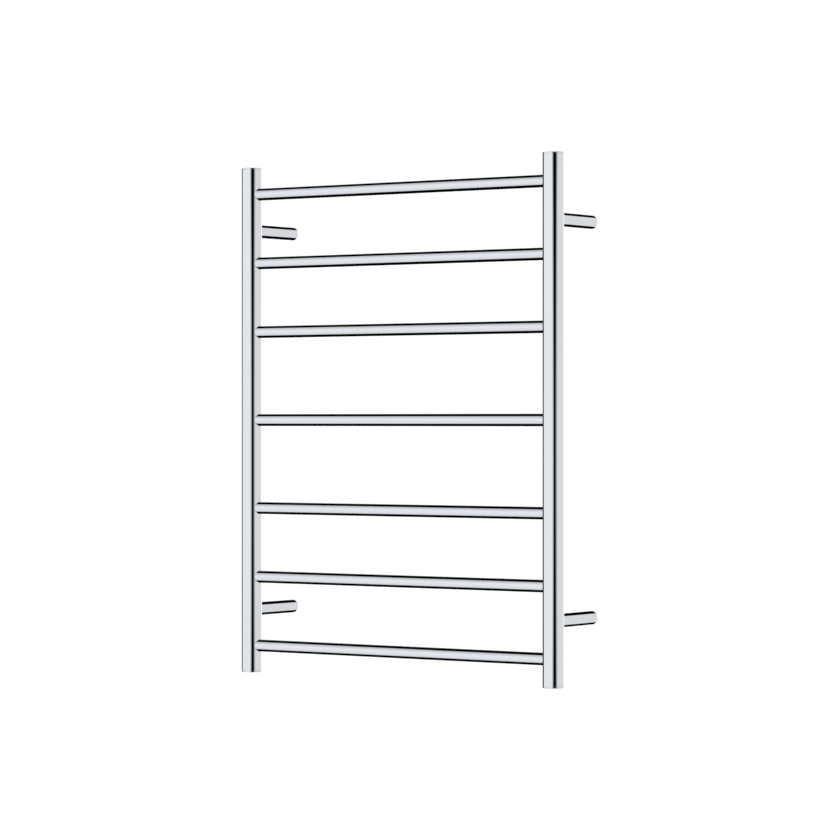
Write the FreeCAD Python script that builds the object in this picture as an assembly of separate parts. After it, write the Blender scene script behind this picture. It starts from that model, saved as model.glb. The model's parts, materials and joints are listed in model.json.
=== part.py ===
# Electric towel warmer: a wall-hung ladder of seven round bars between two round uprights.
#
# The tubes are polished stainless steel. The bars pass through holes in the uprights and are welded all round.
# Four short standoff tubes, welded to the backs of the uprights, slide over spigots that are screwed to the
# wall, and a grub screw under each standoff locks it to its spigot. The uprights are closed by pressed caps.
# Inside, one twin-core heating cable zigzags through all seven bars. Its cold joint and a thermal cutout lie
# in the lowest bar. Three tails run from there through the lower right standoff to the wall, and the earth
# tail is bonded to a stud on the lower right cap.
#
# Frame, in millimetres: the origin is the centre of the four wall fixings, on the wall's surface.
# +X is to the right for someone facing the rail, +Y goes into the wall and +Z is up.

import FreeCAD, Part
import math
import os
from FreeCAD import Vector

X_AXIS = Vector(1, 0, 0)
Y_AXIS = Vector(0, 1, 0)
Z_AXIS = Vector(0, 0, 1)

# ---------------------------------------------------------------- driving dimensions
OVERALL_WIDTH = 600.0
OVERALL_HEIGHT = 800.0
OVERALL_DEPTH = 125.0  # from the wall to the front of the uprights
UPRIGHT_OD = 32.0
UPRIGHT_WALL = 1.2
BAR_OD = 19.0
BAR_WALL = 1.0
CENTRE_GAP = 139.5  # middle bar to the nearest bar of each outer group of three
GROUP_PITCH = 109.1  # bar to bar within a group
FIXING_HEIGHT = 601.0  # between the upper and the lower wall fixings
STANDOFF_OD = 20.5
STANDOFF_WALL = 2.0
WELD_LEG = 0.8  # radius of the polished fillet outside each weld
WELD_ROOT = 1.0  # width of weld metal between a bar and its hole, or a standoff's end and the upright

# End caps of the uprights
CAP_THICKNESS = 2.5
CAP_EDGE_RADIUS = 0.8
CAP_PLUG_DEPTH = 6.0
CAP_PLUG_WALL = 2.0

# Wall spigots, their screw holes and the grub screws
SPIGOT_OD = 16.3
SPIGOT_LENGTH = 26.0
SPIGOT_FLAT_HEIGHT = 4.7  # the flat on top leaves room for the tails
SPIGOT_LEAD_IN = 0.6
WALL_SCREW_HOLE_R = 2.25
WALL_SCREW_HEAD_R = 3.6
GROOVE_CENTRE = 10.0  # from the wall
GROOVE_WIDTH = 5.6
GROOVE_FLOOR_R = 5.9
GRUB_R = 2.5  # M5
GRUB_LENGTH = 4.0
GRUB_SOCKET_FLATS = 2.5
GRUB_SOCKET_DEPTH = 2.0
GRUB_POINT_R = 1.5
GRUB_POINT_LENGTH = 0.8

# Heating cable and its joint
CABLE_R = 2.0
CABLE_BEND_R = 19.0
CABLE_REST = 0.2  # gap left under the cable where it lies in a bar
SEAL_R = 3.0
SEAL_LENGTH = 22.0
SEAL_BORE_DEPTH = 12.0
SPLICE_R = 5.5
SPLICE_LENGTH = 34.0
SPLICE_TAPER = 2.0
CUTOUT_R = 3.0
CUTOUT_LENGTH = 16.0
CUTOUT_NOSE = 1.2
CUTOUT_LEAD_R = 0.6
TAIL_R = 1.1
TAIL_BEND_R = 9.0
TAIL_SPACING = 2.4
TAIL_HEIGHT = 6.0  # above the spigot's axis where the tails cross it
WIRE_HOLE_R = 6.0

# Tail protection
GROMMET_DEPTH = 8.0
GROMMET_INSET = 0.5
GROMMET_GAP = 0.05
TAIL_SLEEVE_R = 4.8
TAIL_SLEEVE_WALL = 0.5
TAIL_SLEEVE_LENGTH = 26.0
TAIL_SLEEVE_START = 13.0  # behind the upright's axis

# Earth bond on the lower right cap
STUD_R = 2.0  # M4
STUD_HEIGHT = 10.5
STUD_COLLAR_R = 4.5
STUD_COLLAR_HEIGHT = 2.5
RING_R = 4.5
RING_HOLE_R = 2.15
RING_THICKNESS = 0.8
RING_TONGUE_WIDTH = 4.0
BARREL_OFFSET = 8.0
BARREL_R = 1.9
BARREL_BORE_R = 1.15
BARREL_HEIGHT = 9.0
WASHER_R = 4.0
WASHER_THICKNESS = 0.8
NUT_FLATS = 7.0
NUT_HEIGHT = 3.2

# ---------------------------------------------------------------- derived places
UPRIGHT_R = UPRIGHT_OD / 2
UPRIGHT_BORE_R = UPRIGHT_R - UPRIGHT_WALL
BAR_R = BAR_OD / 2
BAR_BORE_R = BAR_R - BAR_WALL
STANDOFF_R = STANDOFF_OD / 2
STANDOFF_BORE_R = STANDOFF_R - STANDOFF_WALL
SPIGOT_R = SPIGOT_OD / 2

HALF_SPAN = (OVERALL_WIDTH - UPRIGHT_OD) / 2  # centre of the rail to an upright's axis
FRAME_Y = UPRIGHT_R - OVERALL_DEPTH  # the plane of the uprights' and bars' axes
HALF_HEIGHT = OVERALL_HEIGHT / 2
TUBE_HALF_HEIGHT = HALF_HEIGHT - CAP_THICKNESS
BAR_END_INSET = 10.5  # a bar's end to the upright's axis, so that the end is inside all round
BAR_HALF_LENGTH = HALF_SPAN - BAR_END_INSET
FIXING_Z = FIXING_HEIGHT / 2

_outer_group = [CENTRE_GAP + GROUP_PITCH * step for step in range(3)]
BAR_HEIGHTS = [z for z in reversed(_outer_group)] + [0.0] + [-z for z in _outer_group]

SIDES = {"left": -1, "right": 1}
LEVELS = {"upper": 1, "lower": -1}
WIRED = ("lower", "right")  # the corner that the tails go through


def corners():
    """(level name, side name, axis x, axis z) of each wall fixing."""
    for level, up in LEVELS.items():
        for side, right in SIDES.items():
            yield level, side, right * HALF_SPAN, up * FIXING_Z


def write(name, shape):
    """One STEP file for one node."""
    shape.exportStep(os.path.join("parts", name + ".step"))
    print(f"{name}: {len(shape.Solids)} solid, {shape.Volume / 1000:.3f} cm3, valid {shape.isValid()}")


def along(axis, centre, start, stop, radius):
    """Round rod parallel to a unit axis, from start to stop along it, through centre."""
    return Part.makeCylinder(radius, stop - start, centre + axis * start, axis)


def hexagon(flats, depth, base, axis):
    """Hexagonal prism standing on base along axis."""
    prism = Part.Face(Part.makePolygon([
        Vector(math.cos(math.radians(60 * i)), math.sin(math.radians(60 * i)), 0) * (flats / math.sqrt(3))
        for i in range(7)
    ])).extrude(Z_AXIS * depth)
    prism.Placement = FreeCAD.Placement(base, FreeCAD.Rotation(Z_AXIS, axis))
    return prism


# ---------------------------------------------------------------- welded frame
def upright_post(x, radius):
    """Solid round post on an upright's axis, as long as its tube."""
    return along(Z_AXIS, Vector(x, FRAME_Y, 0), -TUBE_HALF_HEIGHT, TUBE_HALF_HEIGHT, radius)


def upright_tube(x):
    return upright_post(x, UPRIGHT_R).cut(upright_post(x, UPRIGHT_BORE_R))


def upright(side):
    """Tube with a hole for each bar and its weld, and a hole for the tails where they enter."""
    x = SIDES[side] * HALF_SPAN
    tube = upright_tube(x)
    inward = X_AXIS * -SIDES[side]
    for z in BAR_HEIGHTS:
        tube = tube.cut(along(inward, Vector(x, FRAME_Y, z), 0, UPRIGHT_OD, BAR_R + WELD_ROOT))
    if side == WIRED[1]:
        z = LEVELS[WIRED[0]] * FIXING_Z
        tube = tube.cut(along(Y_AXIS, Vector(x, FRAME_Y, z), 0, UPRIGHT_OD, WIRE_HOLE_R))
    return tube


def bar(z):
    """Bar tube, long enough to pass through the wall of both uprights."""
    centre = Vector(0, FRAME_Y, z)
    tube = along(X_AXIS, centre, -BAR_HALF_LENGTH, BAR_HALF_LENGTH, BAR_R)
    return tube.cut(along(X_AXIS, centre, -BAR_HALF_LENGTH, BAR_HALF_LENGTH, BAR_BORE_R))


def standoff_tube(x, z):
    """Tube from the wall to inside the upright, not yet shaped to it."""
    wall_point = Vector(x, 0, z)
    tube = along(Y_AXIS, wall_point, FRAME_Y, 0, STANDOFF_R)
    return tube.cut(along(Y_AXIS, wall_point, FRAME_Y, 0, STANDOFF_BORE_R))


def standoff(x, z):
    """Tube from the wall to the weld on the upright's back, with a tapped hole underneath."""
    tube = standoff_tube(x, z).cut(upright_post(x, UPRIGHT_R + WELD_ROOT))
    tapped = along(-Z_AXIS, Vector(x, -GROOVE_CENTRE, z), 0, STANDOFF_OD, GRUB_R)
    return tube.cut(tapped)


def weld_fillet(x, z, direction, radius):
    """Polished fillet all round a tube that leaves the upright at height z, outside them both."""
    foot = Vector(x, FRAME_Y, z)
    post = along(Z_AXIS, foot, -UPRIGHT_OD, UPRIGHT_OD, UPRIGHT_R)
    branch = along(direction, foot, 0, UPRIGHT_OD, radius)
    joined = post.fuse(branch)

    def on_seam(edge):
        middle = edge.valueAt((edge.FirstParameter + edge.LastParameter) / 2) - foot
        from_post = math.hypot(middle.x, middle.y)
        from_branch = middle.cross(direction).Length
        return abs(from_post - UPRIGHT_R) < 1e-3 and abs(from_branch - radius) < 1e-3

    seam = [edge for edge in joined.Edges if on_seam(edge)]
    return joined.makeFillet(WELD_LEG, seam).cut(post).cut(branch)


def bar_weld(x, z, inward):
    """Weld metal through the upright's wall round a bar, and the fillet outside."""
    foot = Vector(x, FRAME_Y, z)
    root = along(inward, foot, 0, UPRIGHT_OD, BAR_R + WELD_ROOT)
    root = root.cut(along(inward, foot, 0, UPRIGHT_OD, BAR_R)).common(upright_tube(x))
    return root.fuse(weld_fillet(x, z, inward, BAR_R)).removeSplitter()


def standoff_weld(x, z):
    """Weld metal between a standoff's end and the upright, and the fillet outside."""
    root = standoff_tube(x, z).common(upright_post(x, UPRIGHT_R + WELD_ROOT)).cut(upright_post(x, UPRIGHT_R))
    return root.fuse(weld_fillet(x, z, Y_AXIS, STANDOFF_R)).removeSplitter()


def cap(level, side):
    """Disc with a softened rim and a ring-shaped plug that is pressed into the upright."""
    outward = Z_AXIS * LEVELS[level]
    face = Vector(SIDES[side] * HALF_SPAN, FRAME_Y, LEVELS[level] * TUBE_HALF_HEIGHT)
    disc = along(outward, face, 0, CAP_THICKNESS, UPRIGHT_R)
    top_z = LEVELS[level] * HALF_HEIGHT
    rim = [e for e in disc.Edges if all(abs(v.Point.z - top_z) < 1e-6 for v in e.Vertexes)]
    disc = disc.makeFillet(CAP_EDGE_RADIUS, rim)
    plug = along(outward, face, -CAP_PLUG_DEPTH, 0, UPRIGHT_BORE_R)
    plug = plug.cut(along(outward, face, -CAP_PLUG_DEPTH, 0, UPRIGHT_BORE_R - CAP_PLUG_WALL))
    return disc.fuse(plug).removeSplitter()


# ---------------------------------------------------------------- wall fixings
def wall_spigot(x, z):
    """Turned peg on the wall: screw hole, countersink, locking groove and a flat that the tails pass over."""
    wall_point = Vector(x, 0, z)
    peg = along(-Y_AXIS, wall_point, 0, SPIGOT_LENGTH, SPIGOT_R)
    tip = [e for e in peg.Edges if all(abs(v.Point.y + SPIGOT_LENGTH) < 1e-6 for v in e.Vertexes)]
    peg = peg.makeChamfer(SPIGOT_LEAD_IN, tip)
    groove_start = GROOVE_CENTRE - GROOVE_WIDTH / 2
    groove_end = GROOVE_CENTRE + GROOVE_WIDTH / 2
    groove = along(-Y_AXIS, wall_point, groove_start, groove_end, SPIGOT_OD)
    groove = groove.cut(along(-Y_AXIS, wall_point, groove_start, groove_end, GROOVE_FLOOR_R))
    over_flat = Part.makeBox(
        SPIGOT_OD, SPIGOT_LENGTH, SPIGOT_OD,
        Vector(x - SPIGOT_R, -SPIGOT_LENGTH, z + SPIGOT_FLAT_HEIGHT),
    )
    hole = along(-Y_AXIS, wall_point, 0, SPIGOT_LENGTH, WALL_SCREW_HOLE_R)
    sink_depth = WALL_SCREW_HEAD_R - WALL_SCREW_HOLE_R
    sink = Part.makeCone(
        WALL_SCREW_HOLE_R, WALL_SCREW_HEAD_R, sink_depth,
        wall_point - Y_AXIS * (SPIGOT_LENGTH - sink_depth), -Y_AXIS,
    )
    return peg.cut(groove).cut(over_flat).cut(hole).cut(sink)


def grub_screw(x, z):
    """Socket set screw with a flat point in the spigot's groove, just below the standoff's surface."""
    point = Vector(x, -GROOVE_CENTRE, z - GROOVE_FLOOR_R)
    down = -Z_AXIS
    cone = Part.makeCone(GRUB_POINT_R, GRUB_R, GRUB_POINT_LENGTH, point, down)
    screw = cone.fuse(along(down, point, GRUB_POINT_LENGTH, GRUB_LENGTH, GRUB_R))
    socket_floor = point + down * (GRUB_LENGTH - GRUB_SOCKET_DEPTH)
    return screw.cut(hexagon(GRUB_SOCKET_FLATS, GRUB_SOCKET_DEPTH, socket_floor, down))


# ---------------------------------------------------------------- cables
def bent_line(points, bend_r):
    """Straight runs joined by tangent arcs of one radius."""
    edges = []
    start = points[0]
    for before, corner, after in zip(points, points[1:], points[2:]):
        arrive = (corner - before).normalize()
        leave = (after - corner).normalize()
        half_turn = arrive.getAngle(leave) / 2
        setback = bend_r * math.tan(half_turn)
        to_centre = (leave - arrive).normalize()
        arc_start = corner - arrive * setback
        arc_end = corner + leave * setback
        arc_middle = corner + to_centre * (bend_r / math.cos(half_turn) - bend_r)
        edges.append(Part.LineSegment(start, arc_start).toShape())
        edges.append(Part.Arc(arc_start, arc_middle, arc_end).toShape())
        start = arc_end
    edges.append(Part.LineSegment(start, points[-1]).toShape())
    return Part.Wire(edges)


def round_cable(points, bend_r, radius):
    """Solid round cable that follows a bent line."""
    path = bent_line(points, bend_r)
    first_run = (points[1] - points[0]).normalize()
    section = Part.Wire(Part.makeCircle(radius, points[0], first_run))
    solid = path.makePipeShell([section], True, True)
    drift = solid.Volume / (math.pi * radius**2 * path.Length) - 1
    print(f"   cable of {path.Length:.0f} mm, bends of {bend_r:g} mm, volume off by {drift:.1e}")
    return solid


LOWEST_BAR_Z = BAR_HEIGHTS[-1]
CABLE_DROP = BAR_BORE_R - CABLE_R - CABLE_REST  # the cable lies on the floor of each bar
TURN_X = HALF_SPAN + UPRIGHT_BORE_R - CABLE_R - 1.8  # the vertical runs, near the uprights' outer wall
SPLICE_CENTRE = Vector(197.0, FRAME_Y + 0.5, LOWEST_BAR_Z - 1.0)
CUTOUT_CENTRE = Vector(236.0, FRAME_Y + 4.0, LOWEST_BAR_Z + 1.0)
NEUTRAL_IN_BAR = Vector(0, FRAME_Y - 3.0, LOWEST_BAR_Z - 3.0)
SEAL_TOP_Z = BAR_HEIGHTS[0] - 45.0


def heater_cable():
    """From the splice in the lowest bar, through every bar in turn, to the end seal beside the top bar."""
    start = SPLICE_CENTRE - X_AXIS * (SPLICE_LENGTH / 2)
    floor_z = LOWEST_BAR_Z - CABLE_DROP
    points = [start, start - X_AXIS * 20, Vector(start.x - 60, FRAME_Y, floor_z)]
    side = -1
    heights = [z - CABLE_DROP for z in reversed(BAR_HEIGHTS)]
    for z, next_z in zip(heights, heights[1:]):
        points.append(Vector(side * TURN_X, FRAME_Y, z))
        points.append(Vector(side * TURN_X, FRAME_Y, next_z))
        side = -side
    points.append(Vector(side * TURN_X, FRAME_Y, heights[-1]))
    points.append(Vector(side * TURN_X, FRAME_Y, SEAL_TOP_Z - SEAL_BORE_DEPTH))
    return round_cable(points, CABLE_BEND_R, CABLE_R)


def cable_end_seal():
    """Moulded cup over the far end of the heating cable."""
    top = Vector(-TURN_X + 0.7, FRAME_Y, SEAL_TOP_Z)
    cup = along(-Z_AXIS, top, 0, SEAL_LENGTH, SEAL_R)
    bottom_z = SEAL_TOP_Z - SEAL_LENGTH
    end = [e for e in cup.Edges if all(abs(v.Point.z - bottom_z) < 1e-6 for v in e.Vertexes)]
    cup = cup.makeFillet(SEAL_R / 2, end)
    return cup.cut(along(-Z_AXIS, Vector(-TURN_X, FRAME_Y, SEAL_TOP_Z), 0, SEAL_BORE_DEPTH, CABLE_R))


def splice_sleeve():
    """Heat-shrunk sleeve over the joint between the heating cable and the two tails."""
    sleeve = along(X_AXIS, SPLICE_CENTRE, -SPLICE_LENGTH / 2, SPLICE_LENGTH / 2, SPLICE_R)
    rims = [e for e in sleeve.Edges if isinstance(e.Curve, Part.Circle)]
    return sleeve.makeFillet(SPLICE_TAPER / 5, rims)


def thermal_cutout():
    """One-shot cutout: a metal can with a potted nose, and one bare lead into the splice."""
    half = CUTOUT_LENGTH / 2
    can = along(X_AXIS, CUTOUT_CENTRE, -half, half, CUTOUT_R)
    nose_base = CUTOUT_CENTRE - X_AXIS * half
    nose = Part.makeCone(CUTOUT_R - 0.3, CUTOUT_LEAD_R + 0.5, CUTOUT_NOSE, nose_base, -X_AXIS)
    splice_face = SPLICE_CENTRE.x + SPLICE_LENGTH / 2
    lead_length = nose_base.x - splice_face
    lead = along(-X_AXIS, nose_base, 0, lead_length, CUTOUT_LEAD_R)
    return can.fuse(nose).fuse(lead).removeSplitter()


def tail_start(offset):
    """The first points of a tail: at the wall, past the spigot, and down towards the standoff's axis."""
    x = HALF_SPAN + offset
    z = -FIXING_Z
    return [
        Vector(x, 0, z + TAIL_HEIGHT),
        Vector(x, -SPIGOT_LENGTH - 6, z + TAIL_HEIGHT),
        Vector(x, -SPIGOT_LENGTH - 30, z),
    ]


def line_tail():
    """Ends at the cutout's can."""
    x = HALF_SPAN - TAIL_SPACING
    y = CUTOUT_CENTRE.y
    points = tail_start(-TAIL_SPACING) + [
        Vector(x, y, -FIXING_Z),
        Vector(x, y, CUTOUT_CENTRE.z),
        CUTOUT_CENTRE + X_AXIS * (CUTOUT_LENGTH / 2),
    ]
    return round_cable(points, TAIL_BEND_R, TAIL_R)


def neutral_tail():
    """Ends at the splice's face."""
    y = NEUTRAL_IN_BAR.y
    points = tail_start(0) + [
        Vector(HALF_SPAN, y, -FIXING_Z),
        Vector(HALF_SPAN, y, NEUTRAL_IN_BAR.z),
        Vector(SPLICE_CENTRE.x + SPLICE_LENGTH / 2, y, NEUTRAL_IN_BAR.z),
    ]
    return round_cable(points, TAIL_BEND_R, TAIL_R)


CAP_FACE_Z = -TUBE_HALF_HEIGHT
RING_Z = CAP_FACE_Z + STUD_COLLAR_HEIGHT
BARREL_TOP_Z = RING_Z + BARREL_HEIGHT


def earth_tail():
    """Drops past the lowest bar into the barrel of the ring terminal."""
    drop_x = HALF_SPAN + BARREL_OFFSET
    points = tail_start(TAIL_SPACING) + [
        Vector(HALF_SPAN + TAIL_SPACING, FRAME_Y + UPRIGHT_BORE_R, -FIXING_Z),
        Vector(HALF_SPAN + TAIL_SPACING + 3, FRAME_Y + 3, -FIXING_Z),
        Vector(drop_x, FRAME_Y, -FIXING_Z - 40),
        Vector(drop_x, FRAME_Y, RING_Z + RING_THICKNESS + 0.6),
    ]
    return round_cable(points, TAIL_BEND_R, TAIL_R)


def tail_grommet():
    """Rubber filler between the spigot's flat and the standoff's bore, with a hole for each tail."""
    axis_point = Vector(HALF_SPAN, -GROMMET_INSET, -FIXING_Z)
    filler = along(-Y_AXIS, axis_point, 0, GROMMET_DEPTH - GROMMET_INSET, STANDOFF_BORE_R - GROMMET_GAP)
    flat_z = -FIXING_Z + SPIGOT_FLAT_HEIGHT + GROMMET_GAP
    below = Part.makeBox(
        STANDOFF_OD, GROMMET_DEPTH * 2, STANDOFF_OD,
        Vector(HALF_SPAN - STANDOFF_R, -GROMMET_DEPTH * 1.5, flat_z - STANDOFF_OD),
    )
    filler = filler.cut(below)
    for offset in (-TAIL_SPACING, 0, TAIL_SPACING):
        tail = Vector(HALF_SPAN + offset, 0, -FIXING_Z + TAIL_HEIGHT)
        filler = filler.cut(along(-Y_AXIS, tail, 0, GROMMET_DEPTH * 2, TAIL_R))
    return filler


def tail_sleeve():
    """Woven sleeve that keeps the tails off the edge of the hole in the upright."""
    centre = Vector(HALF_SPAN, FRAME_Y + TAIL_SLEEVE_START, -FIXING_Z)
    outside = along(Y_AXIS, centre, 0, TAIL_SLEEVE_LENGTH, TAIL_SLEEVE_R)
    return outside.cut(along(Y_AXIS, centre, 0, TAIL_SLEEVE_LENGTH, TAIL_SLEEVE_R - TAIL_SLEEVE_WALL))


# ---------------------------------------------------------------- earth bond
def stud_point(z):
    return Vector(HALF_SPAN, FRAME_Y, z)


def earth_stud():
    collar = along(Z_AXIS, stud_point(CAP_FACE_Z), 0, STUD_COLLAR_HEIGHT, STUD_COLLAR_R)
    return collar.fuse(along(Z_AXIS, stud_point(CAP_FACE_Z), 0, STUD_HEIGHT, STUD_R))


def earth_ring_terminal():
    """Flat ring on the stud, a tongue, and a crimp barrel that stands up round the earth tail."""
    base = stud_point(RING_Z)
    barrel_base = base + X_AXIS * BARREL_OFFSET
    ring = along(Z_AXIS, base, 0, RING_THICKNESS, RING_R)
    tongue = Part.makeBox(
        BARREL_OFFSET, RING_TONGUE_WIDTH, RING_THICKNESS, base - Y_AXIS * (RING_TONGUE_WIDTH / 2)
    )
    barrel = along(Z_AXIS, barrel_base, 0, BARREL_HEIGHT, BARREL_R)
    bore = along(Z_AXIS, barrel_base, RING_THICKNESS, BARREL_HEIGHT, BARREL_BORE_R)
    whole = ring.fuse(tongue).fuse(barrel).cut(bore)
    return whole.cut(along(Z_AXIS, base, 0, RING_THICKNESS, RING_HOLE_R)).removeSplitter()


def earth_washer():
    base = stud_point(RING_Z + RING_THICKNESS)
    return along(Z_AXIS, base, 0, WASHER_THICKNESS, WASHER_R).cut(
        along(Z_AXIS, base, 0, WASHER_THICKNESS, RING_HOLE_R)
    )


def earth_nut():
    base = stud_point(RING_Z + RING_THICKNESS + WASHER_THICKNESS)
    return hexagon(NUT_FLATS, NUT_HEIGHT, base, Z_AXIS).cut(along(Z_AXIS, base, 0, NUT_HEIGHT, STUD_R))


# ---------------------------------------------------------------- write the nodes
def main():
    os.makedirs("parts", exist_ok=True)
    for side in SIDES:
        write(side + "_upright", upright(side))
    for number, z in enumerate(BAR_HEIGHTS, start=1):
        write(f"bar_{number}", bar(z))
        for side, right in SIDES.items():
            write(f"bar_{number}_{side}_weld", bar_weld(right * HALF_SPAN, z, X_AXIS * -right))
    for level, side, x, z in corners():
        corner = f"{level}_{side}_"
        write(corner + "cap", cap(level, side))
        write(corner + "standoff", standoff(x, z))
        write(corner + "standoff_weld", standoff_weld(x, z))
        write(corner + "wall_spigot", wall_spigot(x, z))
        write(corner + "grub_screw", grub_screw(x, z))
    for make in (
        heater_cable, cable_end_seal, splice_sleeve, thermal_cutout,
        line_tail, neutral_tail, earth_tail, tail_grommet, tail_sleeve,
        earth_stud, earth_ring_terminal, earth_washer, earth_nut,
    ):
        write(make.__name__, make())


main()
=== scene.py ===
# A wall-hung electric towel warmer in polished steel, on the frame made by the CAD model.
# The polished tubes, caps and weld beads are modelled here. The turned, moulded and electrical parts keep
# their CAD shapes and get their materials here.

import json
import math

import bmesh
import bpy
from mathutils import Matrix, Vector


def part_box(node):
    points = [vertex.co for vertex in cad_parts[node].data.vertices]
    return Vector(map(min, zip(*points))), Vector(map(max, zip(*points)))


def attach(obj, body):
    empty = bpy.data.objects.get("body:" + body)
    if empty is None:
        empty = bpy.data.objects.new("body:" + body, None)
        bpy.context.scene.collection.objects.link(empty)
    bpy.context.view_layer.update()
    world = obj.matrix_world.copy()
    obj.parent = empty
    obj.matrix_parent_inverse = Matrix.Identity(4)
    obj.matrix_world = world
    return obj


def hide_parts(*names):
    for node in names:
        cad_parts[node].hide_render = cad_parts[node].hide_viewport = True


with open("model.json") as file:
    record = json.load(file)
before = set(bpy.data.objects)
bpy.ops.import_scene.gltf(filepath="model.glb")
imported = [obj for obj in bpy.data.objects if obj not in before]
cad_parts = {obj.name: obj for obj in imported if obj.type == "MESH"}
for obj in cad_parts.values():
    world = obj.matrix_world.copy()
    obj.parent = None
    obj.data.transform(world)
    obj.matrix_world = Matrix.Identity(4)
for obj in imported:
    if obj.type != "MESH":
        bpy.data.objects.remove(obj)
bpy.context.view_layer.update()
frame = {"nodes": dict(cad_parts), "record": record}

MM = 0.001
X_AXIS = Vector((1, 0, 0))
Y_AXIS = Vector((0, 1, 0))
Z_AXIS = Vector((0, 0, 1))
SIDES = {"left": -1, "right": 1}
LEVELS = {"upper": 1, "lower": -1}
CORNERS = [(level, side) for level in LEVELS for side in SIDES]
BARS = [f"bar_{number}" for number in range(1, 8)]


# ---------------------------------------------------------------- sizes, read from the frame
def middle(node):
    low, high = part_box(node)
    return (low + high) / 2


def extent(node):
    low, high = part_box(node)
    return high - low


UPRIGHT_R = round(extent("left_upright").x / 2, 5)
UPRIGHT_HALF = extent("left_upright").z / 2
BAR_R = round(extent("bar_1").z / 2, 5)
BAR_HALF = extent("bar_1").x / 2
STANDOFF_R = round(extent("upper_left_standoff").z / 2, 5)
HALF_SPAN = middle("right_upright").x
RAIL_Y = middle("right_upright").y
FIXING_Z = middle("upper_right_standoff").z
BAR_HEIGHTS = {bar: middle(bar).z for bar in BARS}
CAP_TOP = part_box("upper_left_cap")[1].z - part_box("left_upright")[1].z

# The sizes that the frame's boxes don't show
UPRIGHT_WALL = 1.2 * MM
BAR_WALL = 1.0 * MM
STANDOFF_WALL = 2.0 * MM
WELD_LEG = 0.8 * MM
CAP_EDGE = 0.8 * MM
CAP_PLUG_DEPTH = 6.0 * MM
CAP_PLUG_WALL = 2.0 * MM
GRUB_R = 2.5 * MM
GRUB_FROM_WALL = 10.0 * MM
DRILL_ABOVE_BORE = 1.5 * MM
DRILL_DEPTH = 6.0 * MM
COPED_STRETCH = 30.0 * MM  # the end of a standoff, where the only ring is the one shaped to the upright
TAIL_PITCH = 2.4 * MM
TAIL_OFFSET = 6.0 * MM  # from the standoff's axis towards the rail's middle
CORE_R = 0.62 * MM
CUT_END = 0.05 * MM  # how near its end a tail shows its core
PARTING = 0.12 * MM  # the fine line between a cap and its tube
RING_STEP = 25 * MM
AROUND = 128
SHARP_ANGLE = math.radians(32)


# ---------------------------------------------------------------- materials
class Nodes:
    """Short names for building a node tree."""

    def __init__(self, tree):
        self.tree = tree

    def new(self, kind, **settings):
        node = self.tree.nodes.new(kind)
        for name, value in settings.items():
            setattr(node, name, value)
        return node

    def feed(self, socket, value):
        """Links a socket's source, or sets its value."""
        if isinstance(value, bpy.types.NodeSocket):
            self.tree.links.new(value, socket)
        else:
            socket.default_value = value

    def math(self, operation, *values):
        node = self.new("ShaderNodeMath", operation=operation)
        for socket, value in zip(node.inputs, values):
            self.feed(socket, value)
        return node.outputs[0]

    def vector(self, operation, *values):
        node = self.new("ShaderNodeVectorMath", operation=operation)
        for socket, value in zip(node.inputs, values):
            self.feed(socket, value)
        return node.outputs["Value" if operation == "LENGTH" else "Vector"]

    def split(self, vector):
        node = self.new("ShaderNodeSeparateXYZ")
        self.feed(node.inputs[0], vector)
        return node.outputs

    def join(self, x, y, z):
        node = self.new("ShaderNodeCombineXYZ")
        for socket, value in zip(node.inputs, (x, y, z)):
            self.feed(socket, value)
        return node.outputs[0]

    def noise(self, place, scale, detail=2.0, roughness=0.5):
        node = self.new("ShaderNodeTexNoise")
        self.feed(node.inputs["Vector"], place)
        node.inputs["Scale"].default_value = scale
        node.inputs["Detail"].default_value = detail
        node.inputs["Roughness"].default_value = roughness
        return node.outputs["Fac"]

    def span(self, value, from_low, from_high, to_low, to_high):
        node = self.new("ShaderNodeMapRange")
        for socket, number in zip(node.inputs, (value, from_low, from_high, to_low, to_high)):
            self.feed(socket, number)
        return node.outputs["Result"]

    def ramp(self, value, stops):
        """stops are (position, colour), in order."""
        node = self.new("ShaderNodeValToRGB")
        elements = node.color_ramp.elements
        while len(elements) < len(stops):
            elements.new(1.0)
        for element, (position, colour) in zip(elements, stops):
            element.position = position
            element.color = (*colour, 1.0)
        self.feed(node.inputs[0], value)
        return node.outputs["Color"]

    def mix(self, factor, first, second, blend="MIX"):
        node = self.new("ShaderNodeMix", data_type="RGBA", blend_type=blend)
        self.feed(node.inputs["Factor"], factor)
        for socket, colour in zip((node.inputs[6], node.inputs[7]), (first, second)):
            self.feed(socket, (*colour, 1.0) if isinstance(colour, tuple) else colour)
        return node.outputs[2]


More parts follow.
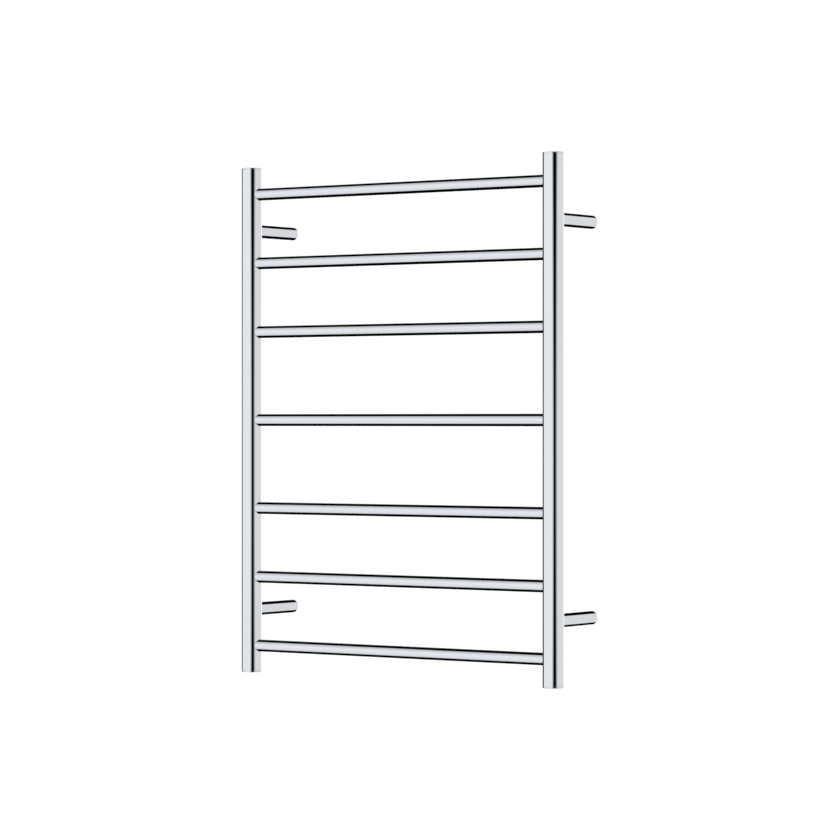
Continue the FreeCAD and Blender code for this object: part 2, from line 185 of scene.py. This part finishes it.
class Finish(Nodes):
    """One material: constants go on the shader's own sockets, and patterns are linked to them."""

    def __init__(self, name, **constants):
        self.material = bpy.data.materials.new(name)
        self.material.use_nodes = True
        super().__init__(self.material.node_tree)
        self.shader = self.tree.nodes["Principled BSDF"]
        self.place = self.new("ShaderNodeTexCoord").outputs["Object"]
        for socket, value in constants.items():
            self.shader.inputs[socket.replace("_", " ")].default_value = value

    def colour(self, value):
        self.feed(self.shader.inputs["Base Color"], value)

    def roughness(self, value):
        self.feed(self.shader.inputs["Roughness"], value)

    def bump(self, height, distance, strength=1.0):
        node = self.new("ShaderNodeBump")
        node.inputs["Distance"].default_value = distance
        node.inputs["Strength"].default_value = strength
        self.feed(node.inputs["Height"], height)
        self.feed(self.shader.inputs["Normal"], node.outputs["Normal"])

    def fold(self, centre_x, centre_y=0.0, centre_z=0.0):
        """Coordinates about the nearest corner's axis, so that one pattern serves all four corners."""
        x, y, z = self.split(self.place)
        across = self.math("SUBTRACT", self.math("ABSOLUTE", x), centre_x)
        up = self.math("SUBTRACT", self.math("ABSOLUTE", z), centre_z) if centre_z else z
        return across, self.math("SUBTRACT", y, centre_y), up

    def lines(self, along, pitch):
        """A wave from 0 to 1 with one crest in every pitch."""
        wave = self.math("SINE", self.math("MULTIPLY", along, 2 * math.pi / pitch))
        return self.math("MULTIPLY_ADD", wave, 0.5, 0.5)


STEEL_DARK = (0.79, 0.805, 0.822)
STEEL_LIGHT = (0.82, 0.835, 0.852)


def polished_steel():
    """Mirror-polished tube: a trace of haze, polishing lines and a wiped look, hardly any waviness."""
    finish = Finish("polished_steel", Metallic=1.0)
    tint = finish.noise(finish.place, 9.0, 3.0)
    finish.colour(finish.mix(tint, STEEL_DARK, STEEL_LIGHT))
    haze = finish.noise(finish.place, 38.0, 4.0, 0.62)
    smear = finish.noise(finish.vector("MULTIPLY", finish.place, (60.0, 60.0, 9.0)), 1.0, 3.0)
    hazy = finish.span(haze, 0.45, 0.8, 0.0, 1.0)
    wiped = finish.span(smear, 0.4, 0.7, 0.2, 1.0)
    dull = finish.math("MULTIPLY", hazy, wiped)
    finish.roughness(finish.span(dull, 0.0, 1.0, 0.03, 0.085))
    ripple = finish.noise(finish.place, 55.0, 1.0)
    finish.bump(ripple, 0.00002, 0.25)
    return finish.material


def polished_cap():
    """The tubes' polish with the faint rings that a turned and buffed disc keeps."""
    finish = Finish("polished_cap", Metallic=1.0)
    across, depth, _ = finish.fold(HALF_SPAN, RAIL_Y)
    radius = finish.vector("LENGTH", finish.join(across, depth, 0.0))
    rings = finish.noise(finish.join(finish.math("MULTIPLY", radius, 2600.0), 0.0, 0.0), 1.0, 2.0)
    haze = finish.noise(finish.place, 70.0, 4.0)
    finish.colour(finish.mix(haze, STEEL_DARK, STEEL_LIGHT))
    finish.roughness(finish.span(rings, 0.2, 0.8, 0.05, 0.16))
    finish.bump(rings, 0.00001, 0.3)
    return finish.material


def turned_steel():
    """Spigot: fine lathe marks round its axis, on its sides and on its faces."""
    finish = Finish("turned_steel", Metallic=1.0)
    across, along, up = finish.fold(HALF_SPAN, 0.0, FIXING_Z)
    radius = finish.vector("LENGTH", finish.join(across, 0.0, up))
    fine_radius = finish.math("MULTIPLY", radius, 5200.0)
    fine_along = finish.math("MULTIPLY", along, 5200.0)
    marks = finish.noise(finish.join(fine_radius, fine_along, 0.0), 1.0, 2.0)
    stain = finish.noise(finish.place, 160.0, 4.0)
    finish.colour(finish.mix(stain, (0.50, 0.51, 0.52), (0.66, 0.67, 0.68)))
    finish.roughness(finish.span(marks, 0.2, 0.8, 0.2, 0.42))
    finish.bump(marks, 0.00002, 0.5)
    return finish.material


def black_steel():
    """Set screw: black oxide, thread turns on its side and rubbed spots that show steel."""
    finish = Finish("black_steel", Metallic=1.0)
    grain = finish.noise(finish.place, 900.0, 4.0)
    rubbed = finish.span(finish.noise(finish.place, 420.0, 2.0), 0.58, 0.72, 0.0, 1.0)
    finish.colour(finish.mix(rubbed, (0.035, 0.036, 0.04), (0.16, 0.16, 0.165)))
    finish.roughness(finish.span(grain, 0.3, 0.7, 0.32, 0.5))
    thread = finish.lines(finish.split(finish.place)[2], 0.8 * MM)
    finish.bump(finish.math("ADD", thread, finish.math("MULTIPLY", grain, 0.3)), 0.00015, 0.5)
    return finish.material


def extruded_rubber(name, dark, light, stripe=None, roughness=(0.42, 0.58), core=None):
    """Soft insulation: a slight mottle and a fine grain in its bump. stripe is a second colour along one
    side.
    core is the colour of the bare strands at the cut end beside the wall."""
    finish = Finish(name)
    mottle = finish.noise(finish.place, 260.0, 3.0)
    colour = finish.mix(mottle, dark, light)
    if stripe:
        normal_x = finish.split(finish.new("ShaderNodeTexCoord").outputs["Normal"])[0]
        colour = finish.mix(finish.span(normal_x, 0.30, 0.36, 0.0, 1.0), colour, stripe)
    if core:
        across, along, up = finish.fold(HALF_SPAN, 0.0, FIXING_Z)
        nearest_tail = finish.math("SNAP", finish.math("ADD", across, TAIL_PITCH / 2), TAIL_PITCH)
        aside = finish.math("SUBTRACT", across, nearest_tail)
        from_core = finish.join(aside, 0.0, finish.math("ADD", up, TAIL_OFFSET))
        in_core = finish.math("LESS_THAN", finish.vector("LENGTH", from_core), CORE_R)
        cut = finish.math("MULTIPLY", in_core, finish.math("GREATER_THAN", along, -CUT_END))
        strands = finish.noise(finish.place, 3200.0, 1.0)
        colour = finish.mix(cut, colour, finish.mix(strands, tuple(0.6 * c for c in core), core))
    finish.colour(colour)
    finish.roughness(finish.span(mottle, 0.3, 0.7, *roughness))
    fine = finish.noise(finish.place, 1400.0, 2.0)
    finish.bump(fine, 0.00004, 0.5)
    return finish.material


def shrink_sleeve():
    """Heat-shrunk tube: soft shallow folds across it and a slight gloss."""
    finish = Finish("shrink_sleeve", Specular_IOR_Level=0.5)
    folds = finish.noise(finish.vector("MULTIPLY", finish.place, (900.0, 160.0, 160.0)), 1.0, 2.0)
    dust = finish.noise(finish.place, 500.0, 3.0)
    finish.colour(finish.mix(dust, (0.018, 0.018, 0.02), (0.05, 0.05, 0.054)))
    finish.roughness(finish.span(dust, 0.3, 0.7, 0.3, 0.48))
    finish.bump(folds, 0.0002, 0.4)
    return finish.material


def cutout_can():
    """Drawn can: fine lines round it and a dull satin."""
    finish = Finish("cutout_can", Metallic=1.0)
    draw = finish.noise(finish.vector("MULTIPLY", finish.place, (3600.0, 200.0, 200.0)), 1.0, 2.0)
    finish.colour(finish.mix(draw, (0.60, 0.60, 0.59), (0.80, 0.79, 0.77)))
    finish.roughness(finish.span(draw, 0.25, 0.75, 0.24, 0.4))
    finish.bump(draw, 0.00002, 0.4)
    return finish.material


def woven_glass():
    """Braided sleeve: two sets of yarns that spiral opposite ways and cross over and under. The yarns are
    painted darker where they dip under and lighter where they ride over, as painted shade.
    """
    finish = Finish("woven_glass", Sheen_Weight=0.3, Sheen_Roughness=0.5)
    across, along, up = finish.fold(HALF_SPAN, 0.0, FIXING_Z)
    turn = finish.math("ARCTAN2", up, across)
    run = finish.math("MULTIPLY", along, 2 * math.pi / (3.2 * MM))
    strands = 12
    one_way = finish.math("SINE", finish.math("MULTIPLY_ADD", turn, strands, run))
    other_way = finish.math("SINE", finish.math("MULTIPLY_ADD", turn, -strands, run))
    crossing = finish.math("MULTIPLY", one_way, other_way)
    yarn = finish.noise(finish.place, 2600.0, 2.0)
    # Painted shade: the colour is darker where the yarns dip under the crossing ones and lighter where they
    # ride over them.
    weave_painted_shade = finish.span(crossing, -1.0, 1.0, 0.0, 1.0)
    finish.colour(finish.mix(weave_painted_shade, (0.58, 0.56, 0.50), (0.86, 0.85, 0.80)))
    finish.roughness(finish.span(yarn, 0.3, 0.7, 0.7, 0.9))
    finish.bump(finish.math("MULTIPLY_ADD", yarn, 0.3, crossing), 0.0002, 0.6)
    return finish.material


def small_metal(name, dark, light, roughness, thread_pitch=None):
    """Turned or plated earthing part: a fine grain in its bump, slight tarnish and, on the stud, the turns of
    a thread.
    """
    finish = Finish(name, Metallic=1.0)
    tarnish = finish.noise(finish.place, 350.0, 4.0)
    finish.colour(finish.mix(tarnish, dark, light))
    finish.roughness(finish.span(tarnish, 0.3, 0.7, *roughness))
    fine = finish.noise(finish.place, 2200.0, 2.0)
    height = fine
    if thread_pitch:
        thread = finish.lines(finish.split(finish.place)[2], thread_pitch)
        height = finish.math("MULTIPLY_ADD", thread, 2.0, fine)
    finish.bump(height, 0.00008, 0.4)
    return finish.material


COPPER = (0.80, 0.42, 0.26)
CHROME = polished_steel()
CAP_FINISH = polished_cap()
CAD_FINISHES = {
    "turned_steel": turned_steel(),
    "black_steel": black_steel(),
    "cable_silicone": extruded_rubber("cable_silicone", (0.33, 0.06, 0.04), (0.46, 0.10, 0.06)),
    "seal_rubber": extruded_rubber(
        "seal_rubber", (0.015, 0.015, 0.016), (0.04, 0.04, 0.042), roughness=(0.55, 0.75)
    ),
    "shrink_sleeve": shrink_sleeve(),
    "cutout_can": cutout_can(),
    "line_insulation": extruded_rubber(
        "line_insulation", (0.15, 0.06, 0.03), (0.21, 0.09, 0.04), core=COPPER
    ),
    "neutral_insulation": extruded_rubber(
        "neutral_insulation", (0.02, 0.09, 0.36), (0.03, 0.13, 0.46), core=COPPER
    ),
    "earth_insulation": extruded_rubber(
        "earth_insulation", (0.07, 0.30, 0.05), (0.10, 0.40, 0.07), stripe=(0.80, 0.66, 0.05), core=COPPER
    ),
    "woven_glass": woven_glass(),
    "brass": small_metal("brass", (0.55, 0.40, 0.15), (0.80, 0.62, 0.28), (0.25, 0.4), 0.7 * MM),
    "tinned_terminal": small_metal("tinned_terminal", (0.56, 0.55, 0.52), (0.74, 0.73, 0.70), (0.28, 0.42)),
    "plated_steel": small_metal("plated_steel", (0.50, 0.51, 0.53), (0.70, 0.71, 0.73), (0.26, 0.4)),
}


# ---------------------------------------------------------------- shapes
def frame_round(axis):
    """Two directions that make a right-handed set with a unit axis."""
    first = Y_AXIS if abs(axis.x) > 0.5 else X_AXIS
    return first, axis.cross(first)


def spaced(start, stop, step):
    """Places from start to stop, no more than step apart, both ends included."""
    count = max(1, math.ceil(abs(stop - start) / step))
    return [start + (stop - start) * i / count for i in range(count + 1)]


def shade(mesh):
    mesh.shade_smooth()
    mesh.set_sharp_from_angle(angle=SHARP_ANGLE)


def finish_mesh(bm, name):
    bmesh.ops.recalc_face_normals(bm, faces=bm.faces)
    mesh = bpy.data.meshes.new(name)
    bm.to_mesh(mesh)
    bm.free()
    shade(mesh)
    return mesh


def bridge(bm, rings):
    """Faces between rings of corners, round a closed loop of rings.
    A ring on the axis is one corner, repeated."""
    for ring, after in zip(rings, rings[1:] + rings[:1]):
        for i in range(len(ring)):
            j = (i + 1) % len(ring)
            corners = list(dict.fromkeys((ring[i], ring[j], after[j], after[i])))
            if len(corners) > 2:
                bm.faces.new(corners)


def turned(name, loop, centre, axis, around=AROUND, reshape=None):
    """Mesh of a closed loop of (distance along the axis, radius), turned about the axis through centre."""
    first, second = frame_round(axis)
    bm = bmesh.new()
    rings = []
    for along, radius in loop:
        hub = centre + axis * along
        if radius < 1e-7:
            rings.append([bm.verts.new(hub)] * around)
            continue
        ring = []
        for i in range(around):
            angle = 2 * math.pi * i / around
            point = hub + (first * math.cos(angle) + second * math.sin(angle)) * radius
            ring.append(bm.verts.new(reshape(point, along) if reshape else point))
        rings.append(ring)
    bridge(bm, rings)
    return finish_mesh(bm, name)


def add_piece(name, mesh, material, stands_for):
    """The polished pieces mirror the studio and not one another, which keeps the tubes' edges dark."""
    piece = bpy.data.objects.new(name, mesh)
    piece.visible_glossy = False
    bpy.context.scene.collection.objects.link(piece)
    mesh.materials.append(material)
    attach(piece, "root")
    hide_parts(stands_for)


def tube_loop(start, stop, outer, wall, start_edge, stop_edge):
    """Section of a tube with its two outer edges eased."""
    inner = outer - wall
    outside = [(along, outer) for along in spaced(start + start_edge, stop - stop_edge, RING_STEP)]
    inside = [(along, inner) for along in spaced(stop, start, 8 * RING_STEP)]
    return [(start, outer - start_edge)] + outside + [(stop, outer - stop_edge)] + inside


def make_uprights():
    for side, right in SIDES.items():
        loop = tube_loop(-UPRIGHT_HALF, UPRIGHT_HALF, UPRIGHT_R, UPRIGHT_WALL, PARTING, PARTING)
        centre = Vector((right * HALF_SPAN, RAIL_Y, 0))
        name = side + "_upright"
        add_piece("polished_" + name, turned("polished_" + name, loop, centre, Z_AXIS), CHROME, name)


def make_bars():
    for bar, z in BAR_HEIGHTS.items():
        loop = tube_loop(-BAR_HALF, BAR_HALF, BAR_R, BAR_WALL, PARTING, PARTING)
        mesh = turned("polished_" + bar, loop, Vector((0, RAIL_Y, z)), X_AXIS)
        add_piece("polished_" + bar, mesh, CHROME, bar)


def make_caps():
    """Disc with a rounded rim, and the plug that holds it in the tube."""
    steps = 10
    rim = []
    for i in range(steps + 1):
        angle = math.pi / 2 * (1 - i / steps)
        rim.append((
            CAP_TOP - CAP_EDGE + CAP_EDGE * math.sin(angle),
            UPRIGHT_R - CAP_EDGE + CAP_EDGE * math.cos(angle),
        ))
    bore = UPRIGHT_R - UPRIGHT_WALL
    flat_edge = UPRIGHT_R - CAP_EDGE
    loop = [(CAP_TOP, 0.0), (CAP_TOP, flat_edge * 0.5), (CAP_TOP, flat_edge - 0.05 * MM)] + rim
    loop += [
        (CAP_TOP - CAP_EDGE - 0.05 * MM, UPRIGHT_R),
        (PARTING, UPRIGHT_R),
        (0.0, UPRIGHT_R - PARTING),
        (0.0, bore),
        (-CAP_PLUG_DEPTH, bore),
        (-CAP_PLUG_DEPTH, bore - CAP_PLUG_WALL),
        (0.0, bore - CAP_PLUG_WALL),
        (0.0, 0.0),
    ]
    for level, side in CORNERS:
        up = LEVELS[level]
        centre = Vector((SIDES[side] * HALF_SPAN, RAIL_Y, up * UPRIGHT_HALF))
        name = f"{level}_{side}_cap"
        add_piece("polished_" + name, turned("polished_" + name, loop, centre, Z_AXIS * up), CAP_FINISH, name)


def bored(mesh, centre, axis, radius, depth):
    """The mesh with a round hole cut into it."""
    block = bpy.data.objects.new("block", mesh)
    drill_loop = [(0.0, 0.0), (depth, 0.0), (depth, radius), (0.0, radius)]
    drill = bpy.data.objects.new("drill", turned("drill", drill_loop, centre, axis, 48))
    for piece in (block, drill):
        bpy.context.scene.collection.objects.link(piece)
    cut = block.modifiers.new("bore", "BOOLEAN")
    cut.object = drill
    cut.solver = "EXACT"
    evaluated = block.evaluated_get(bpy.context.evaluated_depsgraph_get())
    result = bpy.data.meshes.new_from_object(evaluated)
    result.name = mesh.name + "_bored"
    for piece in (block, drill):
        bpy.data.objects.remove(piece)
    shade(result)
    return result


def make_standoffs():
    """Tube from the wall to the upright, shaped to it, with the grub screw's hole underneath."""
    edge = 0.3 * MM
    into_upright = 0.3 * MM
    length = -RAIL_Y
    for level, side in CORNERS:
        x = SIDES[side] * HALF_SPAN
        z = LEVELS[level] * FIXING_Z

        def cope(point, along):
            if along < length - 1e-6:
                return point
            reach = math.sqrt(UPRIGHT_R**2 - (point.x - x) ** 2)
            return Vector((point.x, RAIL_Y + reach - into_upright, point.z))

        loop = tube_loop(0.0, length - COPED_STRETCH, STANDOFF_R, STANDOFF_WALL, edge, 0.0)
        bore = STANDOFF_R - STANDOFF_WALL
        first_inner = next(i for i, (_, radius) in enumerate(loop) if radius == bore)
        loop = loop[: first_inner - 1] + [(length, STANDOFF_R), (length, bore)] + loop[first_inner:]
        name = f"{level}_{side}_standoff"
        mesh = turned("polished_" + name, loop, Vector((x, 0, z)), -Y_AXIS, 96, cope)
        hole = Vector((x, -GRUB_FROM_WALL, z - STANDOFF_R + STANDOFF_WALL + DRILL_ABOVE_BORE))
        add_piece("polished_" + name, bored(mesh, hole, -Z_AXIS, GRUB_R, DRILL_DEPTH), CHROME, name)


def weld_bead(name, foot, out, branch_r):
    """Fillet all round a tube that leaves the upright along out. Their axes meet at foot."""
    side = Z_AXIS.cross(out)
    steps = 10
    inset = 0.4 * MM
    around = 96
    columns = []
    bm = bmesh.new()

    def place(reach, sideways, rise):
        return foot + out * reach + side * sideways + Z_AXIS * rise

    for i in range(around):
        angle = 2 * math.pi * i / around
        c, s = math.cos(angle), math.sin(angle)
        ball_side = (branch_r + WELD_LEG) * c
        ball_reach = math.sqrt((UPRIGHT_R + WELD_LEG) ** 2 - ball_side**2)
        ball = place(ball_reach, ball_side, (branch_r + WELD_LEG) * s)
        on_branch = place(ball_reach, branch_r * c, branch_r * s)
        scale = UPRIGHT_R / (UPRIGHT_R + WELD_LEG)
        on_upright = place(ball_reach * scale, ball_side * scale, (branch_r + WELD_LEG) * s)
        start, stop = (on_branch - ball).normalized(), (on_upright - ball).normalized()
        column = [ball + start.slerp(stop, k / steps) * WELD_LEG for k in range(steps + 1)]
        sunk = (UPRIGHT_R - inset) / (UPRIGHT_R + WELD_LEG)
        thin = branch_r - inset
        column += [
            place(ball_reach * sunk, ball_side * sunk, (branch_r + WELD_LEG) * s),
            place(math.sqrt((UPRIGHT_R - inset) ** 2 - (thin * c) ** 2), thin * c, thin * s),
            place(ball_reach, thin * c, thin * s),
        ]
        columns.append([bm.verts.new(point) for point in column])
    bridge(bm, columns)
    return finish_mesh(bm, name)


def make_welds():
    for bar, z in BAR_HEIGHTS.items():
        for side, right in SIDES.items():
            name = f"{bar}_{side}_weld"
            foot = Vector((right * HALF_SPAN, RAIL_Y, z))
            mesh = weld_bead("polished_" + name, foot, X_AXIS * -right, BAR_R)
            add_piece("polished_" + name, mesh, CHROME, name)
    for level, side in CORNERS:
        name = f"{level}_{side}_standoff_weld"
        foot = Vector((SIDES[side] * HALF_SPAN, RAIL_Y, LEVELS[level] * FIXING_Z))
        mesh = weld_bead("polished_" + name, foot, Y_AXIS, STANDOFF_R)
        add_piece("polished_" + name, mesh, CHROME, name)


def finish_cad_nodes():
    """The CAD nodes that stay get the finish of their own slot."""
    slots = {part["node"]: part["material_slot"] for part in frame["record"]["subparts"]}
    for name, node in frame["nodes"].items():
        node.visible_glossy = False
        finish = CAD_FINISHES.get(slots[name])
        if finish:
            for slot in node.material_slots:
                slot.material = finish


# ---------------------------------------------------------------- studio
def make_floor():
    """Plain pale floor, well below the rail, as it hangs on a wall."""
    mesh = bpy.data.meshes.new("floor")
    half = 4.0
    drop = -0.95
    corners = [(-half, -half, drop), (half, -half, drop), (half, half, drop), (-half, half, drop)]
    mesh.from_pydata(corners, [], [(0, 1, 2, 3)])
    floor = bpy.data.objects.new("floor", mesh)
    bpy.context.scene.collection.objects.link(floor)
    finish = Finish("floor", Roughness=0.9, Specular_IOR_Level=0.0)
    finish.colour(finish.mix(finish.noise(finish.place, 3.0), (0.96, 0.96, 0.96), (0.98, 0.98, 0.98)))
    mesh.materials.append(finish.material)
    floor.visible_glossy = False


LEFT_WALL = (0.936, 0.947, 0.984)
RIGHT_WALL = (0.831, 0.836, 0.855)
BACK_WALL = (1.45, 1.45, 1.45)
BLACK = (0.0, 0.0, 0.0)
ROOM_LIGHT = (1.06, 1.06, 1.06)


def grey(level):
    return (level, level, level)


def make_studio():
    """A white studio. Polished metal sees its three soft light walls and the dark gaps between and
    above them. Bearings are in degrees from the front of the rail, positive towards its right."""
    world = bpy.data.worlds.new("studio")
    bpy.context.scene.world = world
    world.use_nodes = True
    world.cycles.sampling_method = "NONE"
    nodes = Nodes(world.node_tree)
    background = world.node_tree.nodes["Background"]
    x, y, z = nodes.split(nodes.new("ShaderNodeTexCoord").outputs["Generated"])
    bearing = nodes.math("ARCTAN2", x, nodes.math("MULTIPLY", y, -1.0))
    elevation = nodes.math("ARCSINE", z)
    from_level = nodes.math("ABSOLUTE", z)
    round_room = nodes.math("MULTIPLY_ADD", bearing, 1 / (2 * math.pi), 0.5)
    rise = nodes.math("MULTIPLY_ADD", elevation, 1 / math.pi, 0.5)

    def at(degrees):
        return (degrees + 180) / 360

    def up(degrees):
        return (degrees + 90) / 180

    # The gap in front, between the left wall and the right one, is narrowest just below the horizon.
    off_middle = nodes.math("ADD", z, 0.0115)
    spread = nodes.math("MULTIPLY", nodes.math("MULTIPLY", off_middle, off_middle), 12.9 / (2 * math.pi))
    spread = nodes.math("MINIMUM", spread, 8 / 360)

    front_wall = nodes.ramp(nodes.math("ADD", round_room, spread), [
        (at(-180), LEFT_WALL), (at(20.4), LEFT_WALL), (at(39.4), BLACK), (at(180), BLACK),
    ])
    front_shade = nodes.ramp(rise, [
        (up(-70), grey(0.50)), (up(-49.7), grey(0.80)), (up(-37.2), grey(0.92)), (up(-22.6), grey(0.975)),
        (up(-7.5), grey(0.99)), (up(0), grey(1.0)), (up(7.5), grey(1.05)), (up(22.6), grey(0.96)),
        (up(37.2), grey(0.76)), (up(49.7), grey(0.66)), (up(70), grey(0.45)),
    ])
    behind = nodes.math("MULTIPLY_ADD", x, 0.07, y)
    behind = nodes.math("ADD", behind, nodes.math("MULTIPLY", from_level, 0.35))
    front_edge = nodes.span(behind, -0.012, 0.012, 1.0, 0.0)
    front = nodes.mix(1.0, front_wall, nodes.mix(1.0, front_shade, front_edge, "MULTIPLY"), "MULTIPLY")

    right_wall = nodes.ramp(nodes.math("SUBTRACT", round_room, spread), [
        (at(-180), BACK_WALL), (at(-145.6), BACK_WALL), (at(-144.8), BLACK),
        (at(54.2), BLACK), (at(77.5), RIGHT_WALL), (at(176), RIGHT_WALL), (at(180), BACK_WALL),
    ])
    reach = nodes.math("MULTIPLY_ADD", x, 2.0, nodes.math("MAXIMUM", y, 0.0))
    reach = nodes.math("MULTIPLY_ADD", z, -0.12, reach)
    right_edge = nodes.span(nodes.math("MULTIPLY_ADD", from_level, -1.97, reach), -0.025, 0.025, 0.0, 1.0)
    right = nodes.mix(1.0, right_wall, right_edge, "MULTIPLY")

    # Two soft lights overhead, one behind on the left and one in front on the right, light the caps' tops.
    # The ceiling and the floor are pale too, to the left and the right of the rail.
    left_lamp = nodes.span(nodes.math("MULTIPLY_ADD", x, -2.0, y), 1.79, 1.87, 0.0, 1.0)
    on_right = nodes.span(x, 0.2, 0.4, 0.0, 1.0)
    in_front = nodes.span(y, -0.5, -0.3, 1.0, 0.0)
    right_lamp = nodes.math("MULTIPLY", on_right, in_front)
    above = nodes.span(z, 0.1, 0.3, 0.0, 0.6)
    overhead = nodes.math("MULTIPLY", nodes.math("MAXIMUM", left_lamp, right_lamp), above)
    sideways = nodes.span(nodes.math("ABSOLUTE", x), 0.08, 0.18, 0.0, 1.0)
    pale = nodes.math("MULTIPLY", nodes.span(from_level, 0.85, 0.93, 0.0, 0.8), sideways)
    overhead = nodes.math("MAXIMUM", overhead, pale)
    lamps = nodes.join(overhead, overhead, overhead)

    studio = nodes.mix(1.0, nodes.mix(1.0, front, right, "ADD"), lamps, "LIGHTEN")
    seen_in_metal = nodes.new("ShaderNodeLightPath").outputs["Is Glossy Ray"]
    nodes.feed(background.inputs["Color"], nodes.mix(seen_in_metal, ROOM_LIGHT, studio))
    background.inputs["Strength"].default_value = 1.0


LENS = 144.0  # mm, on a sensor 36 mm wide
AIM_X = 0.0415
CAMERA_BEARING = math.radians(34.787)
CAMERA_DISTANCE = 5.156


def make_camera():
    data = bpy.data.cameras.new("camera")
    data.sensor_width = 36.0
    data.lens = LENS
    data.clip_end = 100.0
    camera = bpy.data.objects.new("camera", data)
    bpy.context.scene.collection.objects.link(camera)
    aim = Vector((AIM_X, RAIL_Y, 0))
    towards = Vector((math.sin(CAMERA_BEARING), -math.cos(CAMERA_BEARING), 0))
    camera.location = aim + towards * CAMERA_DISTANCE
    camera.rotation_euler = (aim - camera.location).to_track_quat("-Z", "Y").to_euler()
    bpy.context.scene.camera = camera


make_camera()
make_studio()
make_floor()
make_uprights()
make_bars()
make_caps()
make_standoffs()
make_welds()
finish_cad_nodes()
bpy.context.scene.view_settings.view_transform = "Standard"
